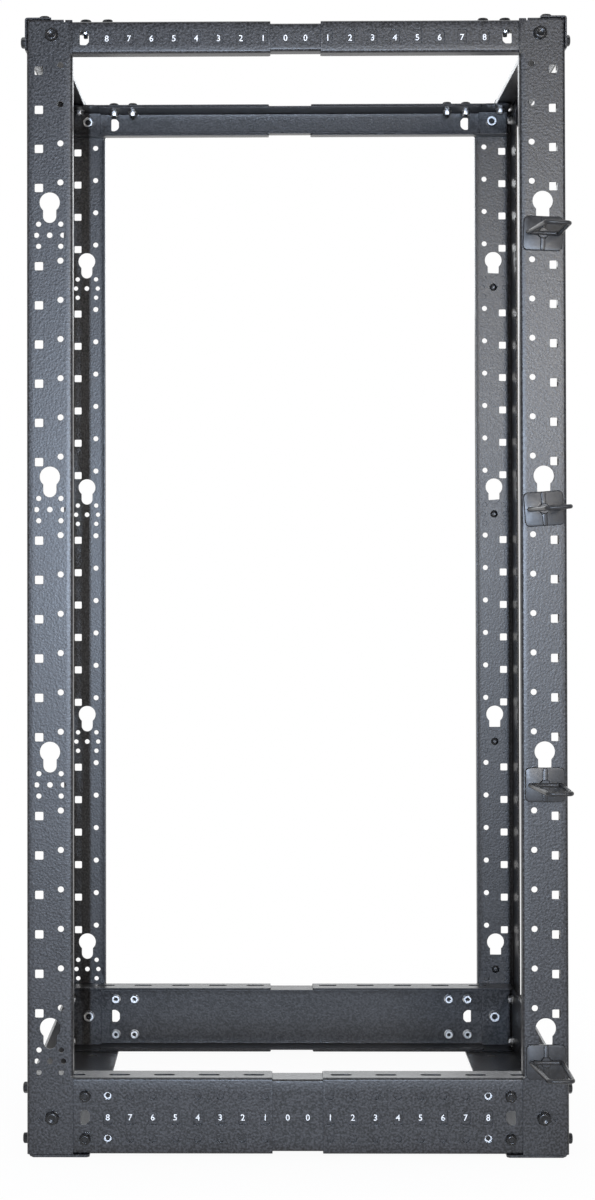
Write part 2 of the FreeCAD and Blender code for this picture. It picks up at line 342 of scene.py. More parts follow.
@dataclass
class Sheet:
    """A folded sheet metal part: its outline and holes in (u, v), and how it is folded."""

    profile: Profile
    outline: Loop
    thickness: float
    to_space: Callable[[Vector, float], Triple]
    holes: list[Loop] = field(default_factory=list)
    tab_line: Optional[float] = None
    tab_radius: float = 2.2

    def solid(self) -> Shell:
        """The folded solid.

        Returns:
            The points in millimetres, and the faces with their normals outward or all inward.
        """
        flat, triangles = self._triangulate()
        outer = [self._fold(u, v, 0.0) for u, v in flat]
        inner = [self._fold(u, v, self.thickness) for u, v in flat]
        count = len(flat)
        faces: list[Face] = [tuple(t) for t in triangles]
        faces += [tuple(count + i for i in reversed(t)) for t in triangles]
        directed = {(t[i], t[(i + 1) % 3]) for t in triangles for i in range(3)}
        for a, b in sorted(directed):
            if (b, a) not in directed:
                faces.append((b, a, count + a, count + b))
        return np.array(outer + inner, float), faces

    def _triangulate(self) -> tuple[Loop, list[tuple[int, int, int]]]:
        """Triangles of the flat pattern, cut along every bend line.

        Returns:
            The points of the pattern and the triangles.
        """
        loops = [self.outline, *self.holes]
        points: list[Vector] = []
        edges: list[tuple[int, int]] = []
        for loop in loops:
            first = len(points)
            points += [Vector(p) for p in loop]
            edges += [(first + i, first + (i + 1) % len(loop)) for i in range(len(loop))]
        vs = [p[1] for p in self.outline]
        for u, fold in self.profile.bend_lines():
            low, high = max(min(vs), fold.low), min(max(vs), fold.high)
            edges.append((len(points), len(points) + 1))
            points += [Vector((u, low)), Vector((u, high))]
        if self.tab_line is not None:
            us = [p[0] for p in self.outline]
            steps = 4
            for k in range(steps + 1):
                v = self.tab_line + self.tab_radius * math.pi / 2 * k / steps
                edges.append((len(points), len(points) + 1))
                points += [Vector((min(us), v)), Vector((max(us), v))]
        verts, _, faces, _, _, _ = delaunay_2d_cdt(points, edges, [], 0, 1e-5)
        flat = [(v.x, v.y) for v in verts]
        centres = np.array([np.mean([flat[i] for i in f], axis=0) for f in faces])
        inside = self._inside(centres, loops)
        kept = [tuple(f) for f, keep in zip(faces, inside) if keep]
        used = sorted({i for f in kept for i in f})
        index = {old: new for new, old in enumerate(used)}
        return [flat[i] for i in used], [tuple(index[i] for i in f) for f in kept]

    @staticmethod
    def _inside(centres: np.ndarray, loops: Iterable[Loop]) -> np.ndarray:
        """Whether each point lies in the outline and in no hole, by counting crossings.

        Args:
            centres: the points.
            loops: the outline and the holes.

        Returns:
            One truth value for each point.
        """
        odd = np.zeros(len(centres), bool)
        for loop in loops:
            ring = np.array(loop)
            following = np.roll(ring, -1, axis=0)
            low, high = ring.min(0), ring.max(0)
            near = np.all((centres >= low) & (centres <= high), axis=1)
            pts = centres[near]
            if not len(pts):
                continue
            y0, y1 = ring[:, 1], following[:, 1]
            x0, x1 = ring[:, 0], following[:, 0]
            spans = (y0 > pts[:, 1:2]) != (y1 > pts[:, 1:2])
            rise = np.where(y1 == y0, 1e-12, y1 - y0)
            crossing = x0 + (pts[:, 1:2] - y0) / rise * (x1 - x0)
            hits = (spans & (pts[:, 0:1] < crossing)).sum(1) % 2 == 1
            odd[near] ^= hits
        return odd

    def _fold(self, u: float, v: float, depth: float) -> Triple:
        """A point of the pattern in space, at a depth below the outer face.

        Args:
            u: the place across the bends.
            v: the place along them.
            depth: how far below the outer face it lies.

        Returns:
            The point.
        """
        point, out = self.profile.place(u, v)
        if self.tab_line is None or v <= self.tab_line:
            return self.to_space(point - out * depth, v)
        r = self.tab_radius
        over = v - self.tab_line
        angle = min(over / r, math.pi / 2)
        inward = r - (r - depth) * math.cos(angle)
        rise = (r - depth) * math.sin(angle)
        inward += max(0.0, over - r * math.pi / 2)
        return self.to_space(point - out * inward, self.tab_line + rise)


# ------------------------------------------------------------ turned solids

Radius = Callable[[float], float]


def round_radius(radius: float) -> Radius:
    """A ring of a constant radius."""
    return lambda angle: radius


def hex_radius(flats: float, limit: float = FAR) -> Radius:
    """A ring with six flats whose corners are cut back to a circle.

    Args:
        flats: the width across the flats.
        limit: the circle's radius.

    Returns:
        The ring's radius by angle.
    """

    def radius(angle: float) -> float:
        """The distance from the axis to the ring at an angle."""
        part = (math.degrees(angle) % 60) - 30
        return min(flats / 2 / math.cos(math.radians(part)), limit)

    return radius


def stacked(levels: Sequence[tuple[float, Radius]], segments: int = 36) -> Shell:
    """A closed solid through rings one above the other, about the third axis.

    Args:
        levels: each ring's height and its radius by angle, from the seat upwards; a ring that
            turns back inwards and down makes a recess.
        segments: how many points a ring has.

    Returns:
        The points and the faces.
    """
    points: list[Triple] = []
    for height, radius in levels:
        for k in range(segments):
            a = 2 * math.pi * k / segments
            points.append((radius(a) * math.cos(a), radius(a) * math.sin(a), height))
    top = (len(levels) - 1) * segments
    ends = [tuple(reversed(range(segments))), tuple(range(top, top + segments))]
    return points, [ends[0], *tube_faces(len(levels), segments), ends[1]]


def tube_faces(rings: int, segments: int) -> list[Face]:
    """The side faces of a tube through rings of points.

    Args:
        rings: how many rings the tube has.
        segments: how many points a ring has.

    Returns:
        The faces, ring by ring.
    """
    faces: list[Face] = []
    for i in range(rings - 1):
        for k in range(segments):
            a, b = i * segments + k, i * segments + (k + 1) % segments
            faces.append((a, b, b + segments, a + segments))
    return faces


def swept(path: Sequence[Vector], radius: float, sides: int = 14) -> Shell:
    """A closed tube of round bar along a closed path that lies in one level plane.

    Args:
        path: the centreline.
        radius: the bar's radius.
        sides: how many points a ring has.

    Returns:
        The points and the faces.
    """
    points: list[Triple] = []
    count = len(path)
    for i, p in enumerate(path):
        ahead = (path[(i + 1) % count] - path[i - 1]).normalized()
        across = Vector((ahead.y, -ahead.x, 0.0))
        for k in range(sides):
            a = 2 * math.pi * k / sides
            q = p + across * (radius * math.cos(a)) + Vector((0, 0, radius * math.sin(a)))
            points.append(tuple(q))
    faces: list[Face] = []
    for i in range(count):
        for k in range(sides):
            a, b = i * sides + k, i * sides + (k + 1) % sides
            c, d = (i + 1) % count * sides + (k + 1) % sides, (i + 1) % count * sides + k
            faces.append((a, b, c, d))
    return points, faces


# ------------------------------------------------------------- shader finishes

NUMBER = "NodeSocketFloat"
VECTOR = "NodeSocketVector"


def node_group(
    name: str, inputs: dict[str, float], outputs: dict[str, str],
) -> tuple[Tree, bpy.types.Node, bpy.types.Node]:
    """A new shader node group with its sockets, its input node and its output node.

    Args:
        name: the group's name.
        inputs: the number that each input starts with.
        outputs: the socket type of each output.

    Returns:
        The group, its input node and its output node.
    """
    group = bpy.data.node_groups.new(name, "ShaderNodeTree")
    for label, value in inputs.items():
        made = group.interface.new_socket(name=label, in_out="INPUT", socket_type=NUMBER)
        made.default_value = value
    for label, kind in outputs.items():
        group.interface.new_socket(name=label, in_out="OUTPUT", socket_type=kind)
    return group, group.nodes.new("NodeGroupInput"), group.nodes.new("NodeGroupOutput")


def add_node(
    tree: Tree, kind: str, links: Optional[dict[str | int, Any]] = None, **settings: Any,
) -> bpy.types.Node:
    """A node of a tree with its settings, its input values and its incoming links.

    Args:
        tree: the tree that gets the node.
        kind: the node's type.
        links: for each input, by name or place, the socket it is linked to or its value.
        **settings: the node's own settings.

    Returns:
        The node.
    """
    node = tree.nodes.new(kind)
    for name, value in settings.items():
        setattr(node, name, value)
    for key, value in (links or {}).items():
        if isinstance(value, Socket):
            tree.links.new(value, node.inputs[key])
        else:
            node.inputs[key].default_value = value
    return node


def math_node(tree: Tree, operation: str, *values: Socket | float) -> Socket:
    """The result of a sum on sockets and numbers."""
    return add_node(tree, "ShaderNodeMath", dict(enumerate(values)), operation=operation).outputs[0]


def map_range(tree: Tree, value: Socket, **limits: float) -> Socket:
    """A value spread from one stretch to another; limits are named From_Min, To_Max and so on."""
    links = {"Value": value, **{name.replace("_", " "): limit for name, limit in limits.items()}}
    return add_node(tree, "ShaderNodeMapRange", links).outputs["Result"]


class Effects:
    """The node groups that the finishes share."""

    def __init__(self) -> None:
        """Makes every group once."""
        self.grain = self._grain()
        self.mottle = self._mottle()
        self.dust = self._dust()

    @staticmethod
    def _noise(group: Tree, scale: Socket | float, detail: float, **more: float) -> Socket:
        """Cloudy noise over the piece's own coordinates.

        Args:
            group: the tree.
            scale: how fine the noise is.
            detail: how many finer layers it has.
            **more: values of other inputs.

        Returns:
            The socket of the noise.
        """
        place = add_node(group, "ShaderNodeTexCoord").outputs["Object"]
        links = {"Vector": place, "Scale": scale, "Detail": detail, **more}
        return add_node(group, "ShaderNodeTexNoise", links).outputs["Fac"]

    @staticmethod
    def _grain() -> Tree:
        """Fine orange peel of a sprayed coat: a speckle mask and a normal.

        Returns:
            The group, with Scale and Strength as inputs.
        """
        outputs = {"Speckle": NUMBER, "Normal": VECTOR}
        group, given, out = node_group("coat_grain", {"Scale": 900.0, "Strength": 0.3}, outputs)
        noise = Effects._noise(group, given.outputs["Scale"], 2.0, Roughness=0.45)
        place = add_node(group, "ShaderNodeTexCoord").outputs["Object"]
        cells = add_node(
            group, "ShaderNodeTexVoronoi", {"Vector": place, "Scale": given.outputs["Scale"]},
        )
        height = math_node(group, "MULTIPLY_ADD", noise, cells.outputs["Distance"], 0.1)
        speckle = map_range(group, noise, From_Min=0.42, From_Max=0.60)
        bump = add_node(
            group, "ShaderNodeBump",
            {"Strength": given.outputs["Strength"], "Distance": 0.0005, "Height": height},
        )
        group.links.new(speckle, out.inputs["Speckle"])
        group.links.new(bump.outputs["Normal"], out.inputs["Normal"])
        return group

    @staticmethod
    def _mottle() -> Tree:
        """Broad faint clouds of a coat's thickness, from 0 to 1.

        Returns:
            The group, with Scale as its input.
        """
        group, given, out = node_group("coat_mottle", {"Scale": 14.0}, {"Cloud": NUMBER})
        noise = Effects._noise(group, given.outputs["Scale"], 5.0, Distortion=0.4)
        cloud = map_range(group, noise, From_Min=0.3, From_Max=0.7)
        group.links.new(cloud, out.inputs["Cloud"])
        return group

    @staticmethod
    def _dust() -> Tree:
        """A faint film that settles on faces that look up, from 0 to 1.

        Returns:
            The group, with Amount as its input.
        """
        group, given, out = node_group("settled_dust", {"Amount": 0.15}, {"Dust": NUMBER})
        shape = add_node(group, "ShaderNodeNewGeometry")
        split = add_node(group, "ShaderNodeSeparateXYZ", {"Vector": shape.outputs["Normal"]})
        upward = map_range(group, split.outputs["Z"], From_Min=0.6, From_Max=1.0)
        patch = math_node(group, "MULTIPLY", upward, Effects._noise(group, 60.0, 4.0))
        scaled = math_node(group, "MULTIPLY", patch, given.outputs["Amount"])
        group.links.new(scaled, out.inputs["Dust"])
        return group


SPECKLE_SHARE = 0.75
DUST_COLOUR = (0.32, 0.32, 0.31, 1.0)


@dataclass(frozen=True)
class Coat:
    """A sprayed or plated finish with grain, faint clouds and settled dust."""

    name: str
    dark: Triple
    light: Triple
    rough_low: float
    rough_high: float
    metallic: float = 0.0
    grain_scale: float = 900.0
    grain_strength: float = 0.3
    dust: float = 0.12
    ior: float = 1.5
    clear_coat: float = 0.0
    coat_rough: float = 0.12

    def build(self, effects: Effects) -> bpy.types.Material:
        """Makes the material.

        Args:
            effects: the shared node groups.

        Returns:
            The material.
        """
        material = bpy.data.materials.new(self.name)
        material.use_nodes = True
        tree = material.node_tree
        tree.nodes.clear()
        grain = add_node(
            tree, "ShaderNodeGroup", {"Scale": self.grain_scale, "Strength": self.grain_strength},
            node_tree=effects.grain,
        )
        mottle = add_node(tree, "ShaderNodeGroup", node_tree=effects.mottle)
        dust = add_node(tree, "ShaderNodeGroup", {"Amount": self.dust}, node_tree=effects.dust)
        speckle = math_node(tree, "MULTIPLY", grain.outputs["Speckle"], SPECKLE_SHARE)
        mixed = math_node(tree, "MULTIPLY_ADD", mottle.outputs["Cloud"], 1 - SPECKLE_SHARE, speckle)
        colour = add_node(
            tree, "ShaderNodeMixRGB",
            {"Fac": mixed, "Color1": (*self.dark, 1.0), "Color2": (*self.light, 1.0)},
        )
        dusty = add_node(
            tree, "ShaderNodeMixRGB",
            {"Fac": dust.outputs["Dust"], "Color1": colour.outputs["Color"], "Color2": DUST_COLOUR},
        )
        rough = map_range(tree, mixed, To_Min=self.rough_low, To_Max=self.rough_high)
        shader = add_node(
            tree, "ShaderNodeBsdfPrincipled",
            {"Base Color": dusty.outputs["Color"], "Roughness": rough, "Metallic": self.metallic,
             "IOR": self.ior, "Normal": grain.outputs["Normal"], "Coat Weight": self.clear_coat,
             "Coat Roughness": self.coat_rough},
        )
        add_node(tree, "ShaderNodeOutputMaterial", {"Surface": shader.outputs["BSDF"]})
        LOG.info("finish %s", self.name)
        return material


class Finish(Enum):
    """The finishes of the rack, by the names of their materials."""

    POWDER = "black_powder_coat"
    # A lighter copy of the powder coat for the bevelled edges: a painted highlight along the sharp edges.
    POWDER_EDGE = "powder_coat_edge"
    GLOSS = "gloss_black_coat"
    FASTENER = "black_fasteners"
    ZINC = "zinc_fasteners"
    INK = "scale_ink"


COATS = {
    Finish.POWDER: Coat(
        "black_powder_coat", (0.0005, 0.0005, 0.001), (0.036, 0.035, 0.038), 0.33, 0.42,
        grain_scale=380.0, grain_strength=0.45, dust=0.02, ior=1.41, clear_coat=0.12,
        coat_rough=0.25,
    ),
    # Lighter than the powder coat: paints a highlight onto the bevel faces along every sharp edge.
    Finish.POWDER_EDGE: Coat(
        "powder_coat_edge", (0.018, 0.018, 0.021), (0.050, 0.050, 0.056), 0.30, 0.40,
        grain_scale=600.0, grain_strength=0.3, dust=0.02, ior=1.5,
    ),
    Finish.GLOSS: Coat(
        "gloss_black_coat", (0.008, 0.008, 0.009), (0.016, 0.016, 0.018), 0.34, 0.42,
        grain_scale=260.0, grain_strength=0.1, dust=0.02, ior=1.42, clear_coat=0.12,
        coat_rough=0.25,
    ),
    Finish.FASTENER: Coat(
        "black_fasteners", (0.006, 0.006, 0.007), (0.016, 0.016, 0.017), 0.22, 0.34,
        metallic=0.35, grain_scale=1200.0, grain_strength=0.15, dust=0.03,
    ),
    Finish.ZINC: Coat(
        "zinc_fasteners", (0.52, 0.53, 0.55), (0.74, 0.74, 0.74), 0.32, 0.44,
        metallic=1.0, grain_scale=1500.0, grain_strength=0.1, dust=0.02,
    ),
    Finish.INK: Coat(
        "scale_ink", (0.78, 0.78, 0.78), (0.90, 0.90, 0.90), 0.45, 0.6,
        grain_scale=1200.0, grain_strength=0.1, dust=0.0,
    ),
}


# ---------------------------------------------------------------------- pieces


@dataclass
class Workshop:
    """Makes Blender pieces from solids in millimetres and puts them on their bodies."""

    materials: dict[Finish, bpy.types.Material]
    body_of: dict[str, str]

    def piece(
        self,
        name: str,
        solids: Sequence[Solid],
        finishes: Sequence[Finish],
        node: str,
        bevel: float = 0.0,
        replaces: bool = True,
        smooth: float = 32.0,
    ) -> bpy.types.Object:
        """Makes one piece that stands for a CAD node and moves with its body.

        Args:
            name: the piece's name.
            solids: (points in millimetres, faces, index of the finish) of each closed solid.
            finishes: the piece's materials; the first one's slot is the record's.
            node: the CAD node.
            bevel: how far sharp edges are cut back, in millimetres.
            replaces: whether the node is hidden.
            smooth: the angle in degrees above which an edge stays sharp.

        Returns:
            The object.
        """
        points: list[Triple] = []
        faces: list[Face] = []
        marks: list[int] = []
        for pts, fcs, mark in solids:
            first = len(points)
            points += [tuple(float(c) * MM for c in p) for p in pts]
            faces += [tuple(first + i for i in f) for f in fcs]
            marks += [mark] * len(fcs)
        mesh = bpy.data.meshes.new(name)
        mesh.from_pydata(points, [], faces)
        for finish in finishes:
            mesh.materials.append(self.materials[finish])
        mesh.polygons.foreach_set("material_index", marks)
        self._outward(mesh)
        mesh.polygons.foreach_set("use_smooth", [True] * len(mesh.polygons))
        mesh.set_sharp_from_angle(angle=math.radians(smooth))
        thing = bpy.data.objects.new(name, mesh)
        bpy.context.scene.collection.objects.link(thing)
        if bevel:
            cut = thing.modifiers.new("edges", "BEVEL")
            cut.width = bevel * MM
            cut.segments = 1
            cut.limit_method = "ANGLE"
            cut.angle_limit = math.radians(50)
            cut.use_clamp_overlap = False
            cut.harden_normals = True
            # The bevel faces take the last finish; on the sheets that is the lighter coat, a painted
            # highlight along the edges.
            cut.material = len(finishes) - 1
        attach(thing, self.body_of[node])
        if replaces:
            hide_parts(node)
        LOG.info("piece %s: %d faces", name, len(faces))
        return thing

    @staticmethod
    def _outward(mesh: bpy.types.Mesh) -> None:
        """Turns every face outward.

        Args:
            mesh: the mesh, whose solids are closed.
        """
        work = bmesh.new()
        work.from_mesh(mesh)
        bmesh.ops.recalc_face_normals(work, faces=work.faces)
        work.to_mesh(mesh)
        work.free()


def mirrored(solids: Sequence[Solid], sx: int, sy: int) -> list[Solid]:
    """The solids of the rear left corner at the corner that the signs name."""
    sign = np.array((sx, sy, 1.0))
    return [(np.array(points, float) * sign, faces, mark) for points, faces, mark in solids]


def stood(points: Sequence[Triple], axis: str, place: Triple, spin: float = 0.0) -> np.ndarray:
    """Points of a turned solid with its third axis along an axis of the rack, at a place.

    Args:
        points: the solid's points, seat at 0.
        axis: "x", "y" or "z", with a minus sign before it for the other way.
        place: where the seat's middle goes.
        spin: the turn about the solid's own axis in degrees.

    Returns:
        The moved points.
    """
    pts = np.array(points, float)
    c, s = math.cos(math.radians(spin)), math.sin(math.radians(spin))
    a, b = pts[:, 0] * c - pts[:, 1] * s, pts[:, 0] * s + pts[:, 1] * c
    h = pts[:, 2] * (-1 if axis.startswith("-") else 1)
    order = {"x": (h, a, b), "y": (a, h, b), "z": (a, b, h)}[axis[-1]]
    return np.stack(order, axis=1) + np.array(place)


@dataclass
class Post:
    """A corner post: a perforated angle with a stiffening lip and a tab across its top."""

    slit: float = 1.6
    top_gap: float = 0.2
    lip_corner: float = 2.0
    tab_corner: float = 4.0
    tab_radius: float = 2.2
    side_corner: float = 1.2
    ring_hole: float = 3.2
    station_hole: float = 3.0
    station_reach: float = 15.0
    station_diagonal: float = 12.6
    foot_hole: Triple = (289.5, 43.5, 2.5)

    def __post_init__(self) -> None:
        """Makes the rear left post once."""
        r = RACK
        corners = [
            (r.half_depth, r.flange_edge), (r.half_depth, r.half_width),
            (r.post_inner, r.half_width), (r.post_inner, r.half_width - r.lip_depth),
        ]
        self.profile = Profile(corners, r.bend, [Fold(), Fold(r.lip_low - 1, r.lip_high + 1)])
        self.solids: list[Solid] = [(*self._sheet().solid(), 0)]

    def web_u(self, x: float) -> float:
        """u of a point on the side web."""
        return self.profile.at(1, RACK.half_depth - x)

    def _sheet(self) -> Sheet:
        """The flat pattern with every hole.

        Returns:
            The sheet of the rear left post.
        """
        r = RACK
        u_end = self.web_u(r.post_inner)
        u_bend = self.web_u(r.post_inner + r.bend)
        u_lip = self.profile.length
        top = r.post_top - self.top_gap
        tab_line = r.post_top - self.tab_radius
        tab_top = tab_line + self.tab_radius * math.pi / 2 + r.tab_depth - self.tab_radius
        near, far = self.web_u(r.tab_end), self.web_u(r.tab_start)
        slit, cut, nip = self.slit, self.lip_corner, self.tab_corner
        outline = [
            (0, r.lower_low), (u_end, r.lower_low), (u_end, r.lip_low - slit), (u_bend, r.lip_low - slit),
            (u_bend, r.lip_low), (u_lip - cut, r.lip_low), (u_lip, r.lip_low + cut),
            (u_lip, r.lip_high - cut), (u_lip - cut, r.lip_high), (u_bend, r.lip_high),
            (u_bend, r.lip_high + slit), (u_end, r.lip_high + slit), (u_end, top),
            (far + slit, top), (far + slit, tab_line - 1), (far, tab_line - 1),
            (far, tab_top - nip), (far - nip, tab_top), (near + nip, tab_top), (near, tab_top - nip),
            (near, tab_line - 1), (near - slit, tab_line - 1), (near - slit, top), (0, top),
        ]
        return Sheet(
            self.profile, outline, r.sheet, lambda p, v: (p.x, p.y, v), self._holes(),
            tab_line=tab_line, tab_radius=self.tab_radius,
        )

    def _holes(self) -> list[Loop]:
        """Every hole: unit squares, side squares and rounds, keyholes and stations.

        Returns:
            The holes in (u, v).
        """
        r = RACK
        holes: list[Loop] = []
        side, corner = r.hole_side, r.hole_corner
        for unit in range(r.unit_count):
            for rise in r.unit_holes:
                z = r.unit_base + unit * r.unit + rise
                u = self.profile.at(0, r.hole_y - r.flange_edge)
                holes.append(rounded(u, z, side, side, corner))
        for unit in sorted(set(range(r.unit_count)) - set(r.station_units)):
            z = r.unit_centre(unit)
            holes.append(rounded(self.web_u(r.side_square_x), z, side, side, self.side_corner))
            holes.append(circle(self.web_u(r.side_round_x), z + r.side_round_rise, r.side_round, 18))
        for z in r.stations():
            u = self.web_u(r.station_x)
            holes.append(keyhole(u, z))
            reach, slant = self.station_reach, self.station_diagonal
            around = [(reach, 0), (-reach, 0)]
            around += [(a * slant, b * slant) for a in (-1, 1) for b in (-1, 1)]
            holes.append(circle(u, z, self.ring_hole, 16))
            holes += [circle(u + a, z + b, self.station_hole, 16) for a, b in around]
        x, z, radius = self.foot_hole
        holes.append(circle(self.web_u(x), z, radius, 14))
        return holes

    def build(self, shop: Workshop, end: End, side: Side) -> None:
        """Puts a post at a corner.

        Args:
            shop: makes the piece.
            end: the corner's end.
            side: the corner's side.
        """
        name = f"{end.name}_{side.name}_post".lower()
        solids = mirrored(self.solids, end.value, side.value)
        # The second finish paints a highlight on the bevelled edges.
        shop.piece(
            name + "_sheet", solids, [Finish.POWDER, Finish.POWDER_EDGE], name, bevel=0.3,
        )


@dataclass
class Rail:
    """A depth rail or scale rail: a channel along X that is open towards the middle."""

    name: str
    start: float
    finish: float
    y: float
    low: float
    high: float
    top_flange: float
    bottom_flange: float
    corner: float = 2.0
    window: Triple = (16.4, 10.3, 1.6)
    holes: list[Loop] = field(default_factory=list)

    def __post_init__(self) -> None:
        """Lays out the channel's profile."""
        y, low, high = self.y, self.low, self.high
        corners = [(y - self.bottom_flange, low), (y, low), (y, high), (y - self.top_flange, high)]
        self.profile = Profile(corners, RACK.bend)

    def web(self, z: float) -> float:
        """u of a height on the web."""
        return self.profile.at(1, z - self.low)

    def top(self, y: float) -> float:
        """u of a place across the top flange."""
        return self.profile.at(2, self.y - y)

    def windows(self, line: float) -> None:
        """Adds the windows that show the inch scale."""
        for number in range(1, RACK.last_mark + 1):
            self.holes.append(rounded(self.web(line), RACK.mark(number), *self.window))

    def solid(self) -> list[Solid]:
        """The folded channel.

        Returns:
            One closed solid.
        """
        length, cut = self.profile.length, self.corner
        a, b = self.start, self.finish
        outline = [
            (cut, a), (length - cut, a), (length, a + cut), (length, b - cut), (length - cut, b),
            (cut, b), (0, b - cut), (0, a + cut),
        ]
        sheet = Sheet(
            self.profile, outline, RACK.sheet, lambda p, v: (v, p.x, p.y), self.holes,
        )
        return [(*sheet.solid(), 0)]

    def build(
        self, shop: Workshop, solids: Sequence[Solid], end: Optional[End], side: Side,
    ) -> None:
        """Puts the rail on a side, and at an end if it belongs to one.

        Args:
            shop: makes the piece.
            solids: what solid() gave.
            end: the rail's end, or None for a scale rail.
            side: its side.
        """
        prefix = f"{end.name}_{side.name}" if end else side.name
        name = f"{prefix}_{self.name}".lower()
        placed = mirrored(solids, end.value if end else 1, side.value)
        # The second finish paints a highlight on the bevelled edges.
        shop.piece(
            name + "_channel", placed, [Finish.POWDER, Finish.POWDER_EDGE], name, bevel=0.3,
        )


def depth_rails() -> list[Rail]:
    """The rear left upper and lower depth rails, with their holes.

    Returns:
        Both rails.
    """
    r = RACK
    upper = Rail("upper_rail", r.rail_start, r.rail_end, r.rail_y, r.upper_low, r.upper_high, 56, 22)
    upper.windows(r.upper_line)
    lower = Rail("lower_rail", r.rail_start, r.rail_end, r.rail_y, r.lower_low, r.lower_high, 38, 38)
    lower.windows(r.lower_line)
    for number in range(1, r.last_mark + 1):
        for rise in (-r.lock_rise, r.lock_rise):
            lower.holes.append(circle(lower.web(r.lower_line + rise), r.mark(number), r.lock_hole, 18))
    for i in range(5):
        x = r.mark(1.5 + 2 * i)
        lower.holes.append(rounded(lower.top(r.rail_y - 17), x, 8, 24, 3.9, 5))
    return [upper, lower]


def scale_rails() -> list[Rail]:
    """The left upper and lower scale rails, with their sight holes and lock holes.

    Returns:
        Both rails.
    """
    r = RACK
    inset = 2.3
    upper = Rail(
        "upper_scale_rail", -r.scale_end, r.scale_end, r.scale_y, r.upper_low + inset,
        r.upper_high - inset, 53.7, 19.7,
    )
    lower = Rail(
        "lower_scale_rail", -r.scale_end, r.scale_end, r.scale_y, r.lower_low + inset,
        r.lower_high - inset, 35.7, 35.7,
    )
    for rail, line in ((upper, r.upper_line), (lower, r.lower_line)):
        for sign in (-1, 1):
            far = r.mark(r.last_mark)
            rail.holes.append([(rail.web(line) + b, sign * (far + a)) for a, b in sight_hole(0, 0)])
    for sign in (-1, 1):
        for rise in (-r.lock_rise, r.lock_rise):
            x = sign * r.mark(r.last_mark - 1)
            lower.holes.append(circle(lower.web(r.lower_line + rise), x, r.lock_hole, 18))
    return [upper, lower]


@dataclass(frozen=True)
class Beam:
    """The cross beams at the top and the base of one end."""

    top_x: Pair = (307.4, 277.4)
    top_web: float = 37
    top_lip: float = 8
    lip_half: float = 238.8
    slit: float = 1.6
    base_flange: float = 68
    base_web: float = 86
    base_bend: float = 3.2
    base_sheet: float = 3.0
    base_half: float = 296.8
    shoulder: float = 64.8
    foot: Triple = (33.0, 236.0, 6.25)

    def top(self) -> list[Solid]:
        """The rear top beam: a web outside the posts, a flange over them and a lip.

        Returns:
            One closed solid.
        """
        r = RACK
        x1, x0 = self.top_x
        lip, low = self.lip_half, r.height - self.top_lip
        profile = Profile(
            [(x1, r.height - self.top_web), (x1, r.height), (x0, r.height), (x0, low)],
            r.bend, [Fold(), Fold(-lip - 1, lip + 1)],
        )
        u_end, u_bend = profile.at(1, x1 - x0), profile.at(1, x1 - x0 - r.bend)
        w, u_lip, slit = r.half_width, profile.length, self.slit
        outline = [
            (0, -w + 2), (2, -w), (u_end, -w), (u_end, -lip - slit), (u_bend, -lip - slit),
            (u_bend, -lip), (u_lip, -lip), (u_lip, lip), (u_bend, lip), (u_bend, lip + slit),
            (u_end, lip + slit), (u_end, w), (2, w), (0, w - 2),
        ]
        sheet = Sheet(profile, outline, r.sheet, lambda p, v: (p.x, v, p.y))
        return [(*sheet.solid(), 0)]

    def base(self) -> list[Solid]:
        """The rear base beam: a web inside the posts and a floor flange under their feet.

        Returns:
            One closed solid.
        """
        r = RACK
        corners = [(r.base_x - self.base_flange, 0), (r.base_x, 0), (r.base_x, self.base_web)]
        profile = Profile(corners, self.base_bend)
        w, narrow, bend, top = r.half_width, self.base_half, self.shoulder, profile.length
        half = [
            (0, w - 3), (3, w), (bend - 2, w), (bend, w - 2), (bend, narrow), (top - 6, narrow),
            (top, narrow - 6),
        ]
        outline = [(u, -v) for u, v in half] + half[::-1]
        x, y, radius = self.foot
        holes = [circle(profile.at(0, x), s * y, radius, 24) for s in (-1, 1)]
        sheet = Sheet(profile, outline, self.base_sheet, lambda p, v: (p.x, v, p.y), holes)
        return [(*sheet.solid(), 0)]

    def build(self, shop: Workshop, end: End) -> None:
        """Puts both beams at an end.

        Args:
            shop: makes the pieces.
            end: the beams' end.
        """
        for kind, solids in (("top_beam", self.top()), ("base_beam", self.base())):
            name = f"{end.name}_{kind}".lower()
            # The second finish paints a highlight on the bevelled edges.
            shop.piece(
                name + "_sheet", mirrored(solids, end.value, 1),
                [Finish.POWDER, Finish.POWDER_EDGE], name, bevel=0.3,
            )


